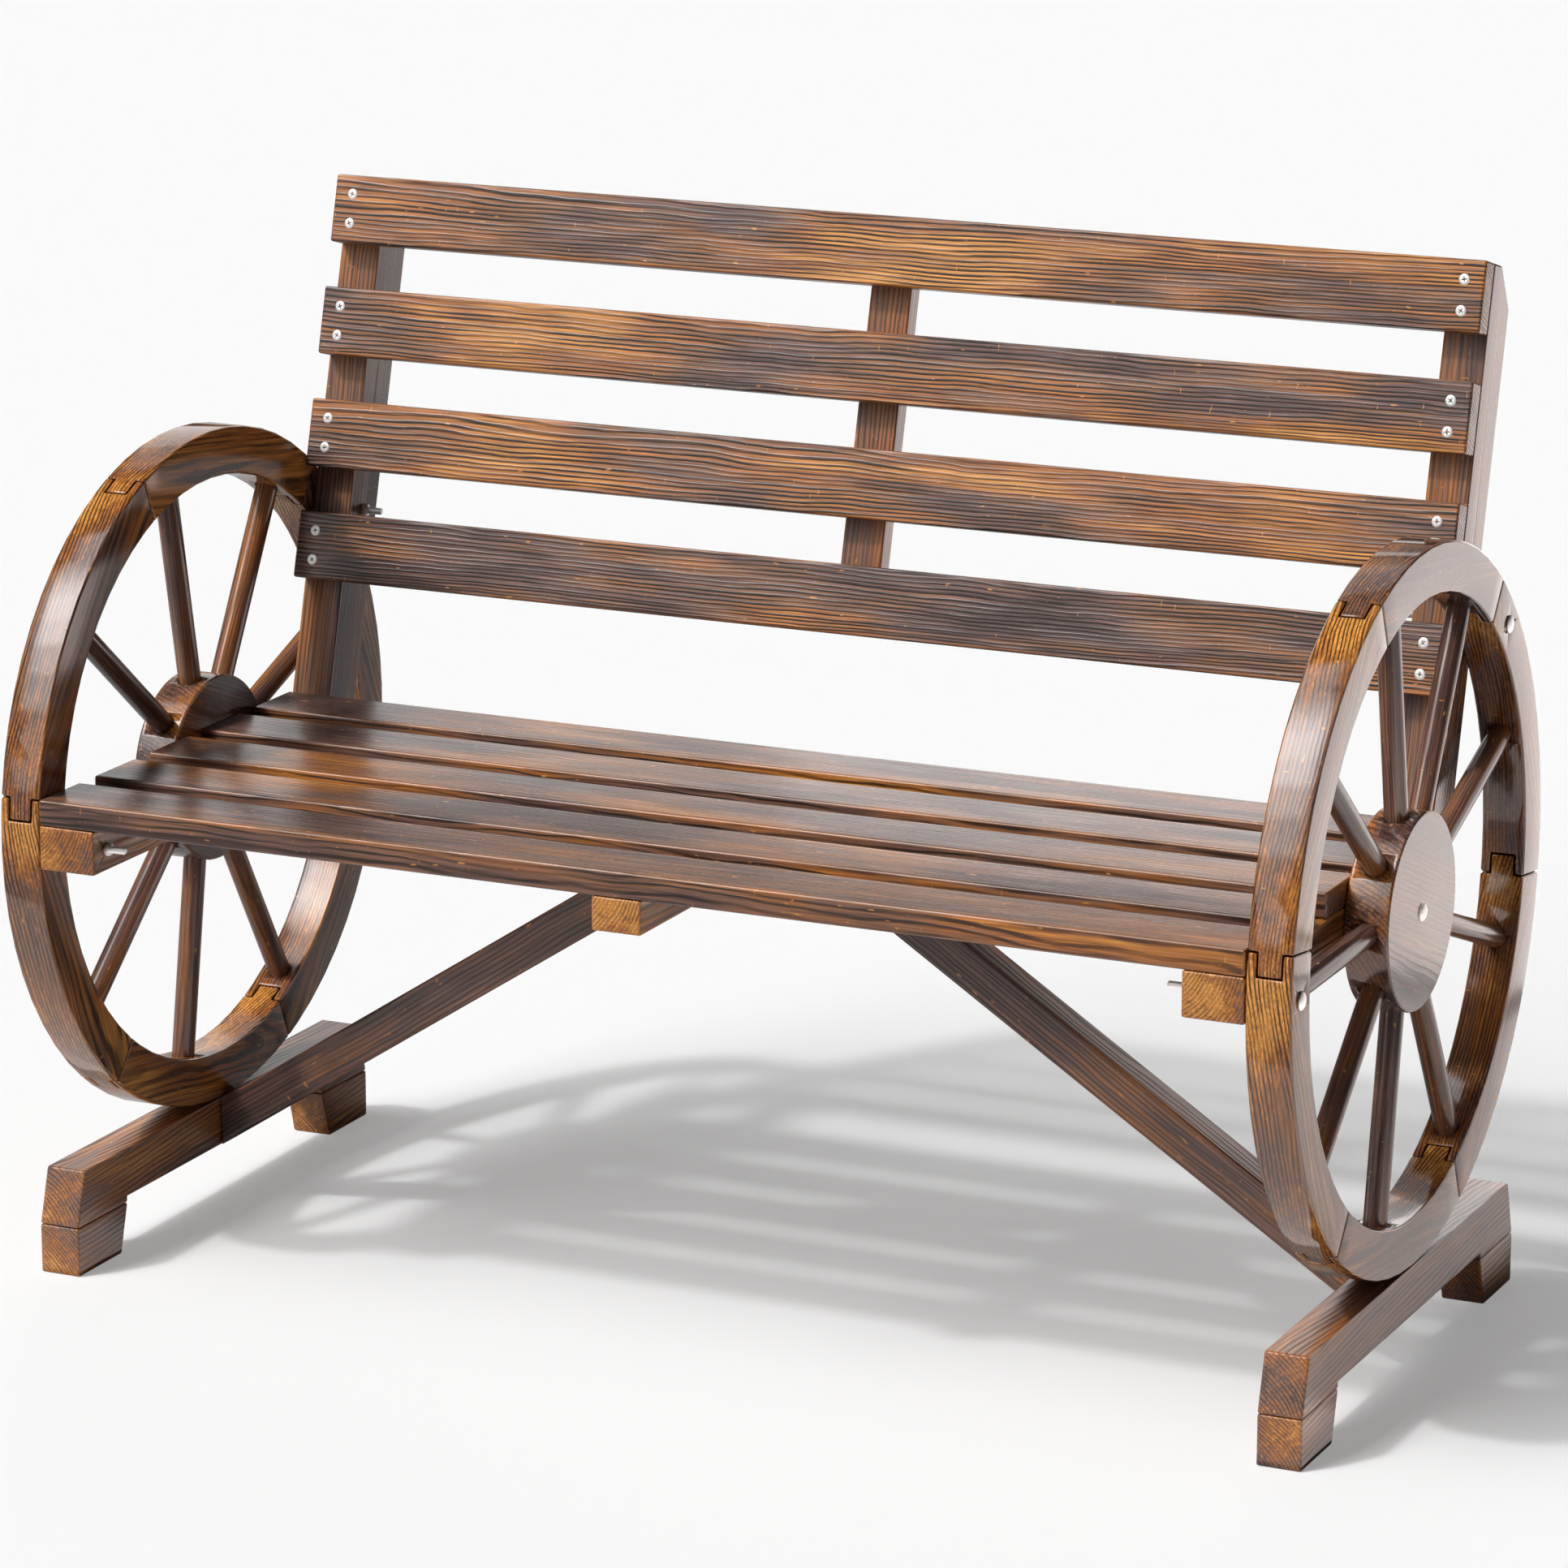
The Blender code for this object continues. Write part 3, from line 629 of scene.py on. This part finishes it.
def drive(name, place, axis, turn):
    """Puts a screw head on the wood, with its axis out of the wood and its cross turned as it was left."""
    screw = bpy.data.objects.new(name, head)
    bpy.context.scene.collection.objects.link(screw)
    upright = axis.to_track_quat("Z", "Y").to_matrix().to_4x4()
    screw.matrix_world = Matrix.Translation(place) @ upright @ Matrix.Rotation(turn, 4, "Z")
    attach(screw, "root")


head = screw_head()
for number in range(len(BACK_CUTS)):
    slat = middle_of(f"back_slat_{number + 1}")
    low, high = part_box(f"back_slat_{number + 1}")
    thickness = ((high.z - low.z) - BACK_SLAT_HEIGHT * math.cos(BACK_LEAN)) / math.sin(BACK_LEAN)
    for side_name, side in SIDES.items():
        for row_name, row in SCREW_ROWS.items():
            place = slat + UP_THE_BACK * (row * SCREW_RISE) + BACK_FACE * thickness / 2
            place.x = side * POST_MIDDLE
            turn = number * TURN_PER_SLAT + row * TURN_PER_ROW + side * TURN_PER_SIDE
            drive(f"{side_name}_back_screw_{number + 1}_{row_name}", place, BACK_FACE, turn)
    for row_name, row in SCREW_ROWS.items():
        place = middle_of("centre_back_batten")
        along = (slat - place).dot(UP_THE_BACK) + row * SCREW_RISE
        place = place + UP_THE_BACK * along - BACK_FACE * BATTEN_THICKNESS / 2
        place.x += row * BATTEN_SCREW_REACH
        drive(f"batten_screw_{number + 1}_{row_name}", place, -BACK_FACE, (number + row) * TURN_ON_BATTEN)
for name in BEARERS:
    low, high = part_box(name)
    for number in range(SEAT_SLAT_COUNT):
        place = middle_of(f"seat_slat_{number + 1}")
        place.x = (low.x + high.x) / 2
        place.z = low.z
        drive(f"{name}_screw_{number + 1}", place, -UPWARDS, number * TURN_UNDER_SEAT)

# Wheel bolts
# Two zinc-plated bolts with low domed heads hold each rim, one to the seat bearer and one to the back post.
# Each goes in from the outside of the wheel, and its nut end stands out of the wood on the inside.

for side_name in SIDES:
    for end_name in ("front", "rear"):
        coat(nodes[f"{side_name}_{end_name}_wheel_bolt"], bolt_zinc)

# Floor and light
# The bench stands on seamless pale paper. A big soft lamp of white strips in front on the left reaches
# overhead, with a dim strip behind, a faint room and a small hard key lamp that shows in no gloss.
# A warm side panel, a small one behind and two floor cards show only as reflections in the gloss.

PAPER = "#eeeeee"
PAPER_TO_WOOD = "#b4b4b4"
SHADOW_FILL = 0.34
FLOOR_REACH = 40
floor_mesh = bpy.data.meshes.new("paper_floor")
floor_corners = [(x * FLOOR_REACH, y * FLOOR_REACH, 0) for x, y in ((-1, -1), (1, -1), (1, 1), (-1, 1))]
floor_mesh.from_pydata(floor_corners, [], [(0, 1, 2, 3)])
floor = bpy.data.objects.new("paper_floor", floor_mesh)
bpy.context.scene.collection.objects.link(floor)
paper = bpy.data.materials.new("matt_paper")
paper.use_nodes = True
tree = paper.node_tree
seen = add(tree, "LightPath", {}, {}).outputs["Is Camera Ray"]
settings = {"data_type": "RGBA", 6: linear(PAPER_TO_WOOD), 7: linear(PAPER)}
tone = add(tree, "Mix", settings, {0: seen}).outputs[2]
matt = add(tree, "BsdfDiffuse", {}, {"Color": tone}).outputs[0]
white = add(tree, "Emission", {"Color": linear(PAPER), "Strength": 1}, {}).outputs[0]
fill = add(tree, "Math", {"operation": "MULTIPLY", 1: SHADOW_FILL}, {0: seen}).outputs[0]
mixed = add(tree, "MixShader", {}, {0: fill, 1: matt, 2: white}).outputs[0]
tree.links.new(mixed, tree.nodes["Material Output"].inputs["Surface"])
floor_mesh.materials.append(paper)

# Each panel or card has its place, the way it faces, its width and height, and its level.
PANEL_TINT = "#fff1ec"
SIDE_PANELS = [
    (Vector((1.1, 1.0, 0.4)), -BACKWARDS, (1.7, 0.74), 2.0),
    (Vector((-0.15, 1.0, 0.65)), -BACKWARDS, (0.6, 0.3), 0.9),
    (Vector((1.5, 0.1, 0.004)), UPWARDS, (1.8, 1.8), 1.1),
    (Vector((0.0, -0.435, 0.004)), UPWARDS, (2.6, 0.63), 1.1),
]
for place, toward, (width, height), strength in SIDE_PANELS:
    lamp = bpy.data.lights.new("side_panel", "AREA")
    lamp.shape = "RECTANGLE"
    lamp.color = linear(PANEL_TINT)[:3]
    lamp.size = width
    lamp.size_y = height
    lamp.energy = strength * math.pi * lamp.size * lamp.size_y
    panel = bpy.data.objects.new("side_panel", lamp)
    panel.location = place
    panel.rotation_euler = toward.to_track_quat("-Z", "Y").to_euler()
    panel.visible_camera = False
    panel.visible_diffuse = False
    bpy.context.scene.collection.objects.link(panel)

KEY_SIDE = Vector((-0.46, -0.5, 0.866))
KEY_LEVEL = 1.6
KEY_SPREAD = math.radians(4)
sun = bpy.data.lights.new("key_lamp", "SUN")
sun.energy = KEY_LEVEL
sun.angle = KEY_SPREAD
key = bpy.data.objects.new("key_lamp", sun)
key.rotation_euler = (-KEY_SIDE).to_track_quat("-Z", "Y").to_euler()
key.visible_glossy = False
bpy.context.scene.collection.objects.link(key)

# Each strip has where it starts and ends, in degrees from overhead towards the front, where it starts and
# ends sideways, as a share of its distance, and its level. The first two hang behind the bench.
STRIPS = [
    (-84, -56, -0.66, -0.1, 1.27),
    (-56, -38, -0.66, -0.1, 0.7),
    (-3, 9, -0.62, -0.29, 3.2),
    (9, 12, -0.66, -0.27, 4.6),
    (12, 15, -0.68, -0.26, 6.6),
    (15, 18, -0.68, -0.26, 8.8),
    (18, 22, -0.68, -0.26, 11.4),
    (22, 31, -0.68, -0.26, 13.8),
    (31, 40, -0.68, -0.26, 12),
    (40, 50, -0.68, -0.26, 7.5),
    (50, 62, -0.68, -0.26, 4.8),
    (62, 88, -0.62, -0.29, 2.2),
]
STRIP_BLUR = 0.03
ROOM_LEVEL = 0.06
ROOM_FRONT = -0.8
BACKDROP = "#fafafa"
world = bpy.data.worlds.new("studio")
world.use_nodes = True
bpy.context.scene.world = world
room = world.node_tree
direction = add(room, "TexCoord", {}, {}).outputs["Generated"]
parts = add(room, "SeparateXYZ", {}, {"Vector": direction}).outputs
forward = add(room, "Math", {"operation": "MULTIPLY", 1: -1}, {0: parts["Y"]}).outputs[0]
lean = add(room, "Math", {"operation": "ARCTAN2"}, {0: forward, 1: parts["Z"]}).outputs[0]
upright = add(room, "VectorMath", {"operation": "MULTIPLY", 1: (0, 1, 1)}, {0: direction}).outputs[0]
upright = add(room, "VectorMath", {"operation": "LENGTH"}, {0: upright}).outputs["Value"]
sideways = add(room, "Math", {"operation": "DIVIDE"}, {0: parts["X"], 1: upright}).outputs[0]


def soft_band(value, start, end):
    """1 where the value lies between start and end, and 0 outside, with soft edges."""
    edges = []
    for edge, inward in ((start, STRIP_BLUR), (end, -STRIP_BLUR)):
        settings = {"interpolation_type": "SMOOTHSTEP", "From Min": edge - inward, "From Max": edge + inward}
        edges.append(add(room, "MapRange", settings, {"Value": value}).outputs["Result"])
    return add(room, "Math", {"operation": "MULTIPLY"}, {0: edges[0], 1: edges[1]}).outputs[0]


settings = {"operation": "MULTIPLY_ADD", 1: ROOM_LEVEL * ROOM_FRONT, 2: ROOM_LEVEL}
level = add(room, "Math", settings, {0: parts["Y"]}).outputs[0]
for start, end, left, right, strength in STRIPS:
    strip = soft_band(lean, math.radians(start), math.radians(end))
    beside = soft_band(sideways, left, right)
    strip = add(room, "Math", {"operation": "MULTIPLY"}, {0: beside, 1: strip}).outputs[0]
    level = add(room, "Math", {"operation": "MULTIPLY_ADD", 1: strength}, {0: strip, 2: level}).outputs[0]
seen = add(room, "LightPath", {}, {}).outputs["Is Camera Ray"]
level = add(room, "Mix", {"data_type": "FLOAT", 3: linear(BACKDROP)[0]}, {0: seen, 2: level}).outputs[0]
room.links.new(level, room.nodes["Background"].inputs["Strength"])
room.nodes["Background"].inputs["Color"].default_value = (1, 1, 1, 1)

# Camera
# It stands in front of the bench on the right, a little above the back, at the photograph's angle.
# A long lens keeps the slats nearly parallel, and everything is in focus.

CAMERA_PLACE = Vector((2.17047, -4.63834, 1.75804))
CAMERA_AIM = Vector((0.0436, -0.0748, 0.4573))
SENSOR_WIDTH = 36
FOCAL_LENGTH = 144.66
lens = bpy.data.cameras.new("camera")
lens.sensor_width = SENSOR_WIDTH
lens.lens = FOCAL_LENGTH
camera = bpy.data.objects.new("camera", lens)
camera.location = CAMERA_PLACE
camera.rotation_euler = (CAMERA_AIM - CAMERA_PLACE).to_track_quat("-Z", "Y").to_euler()
bpy.context.scene.collection.objects.link(camera)
bpy.context.scene.camera = camera
bpy.context.scene.view_settings.view_transform = "Standard"
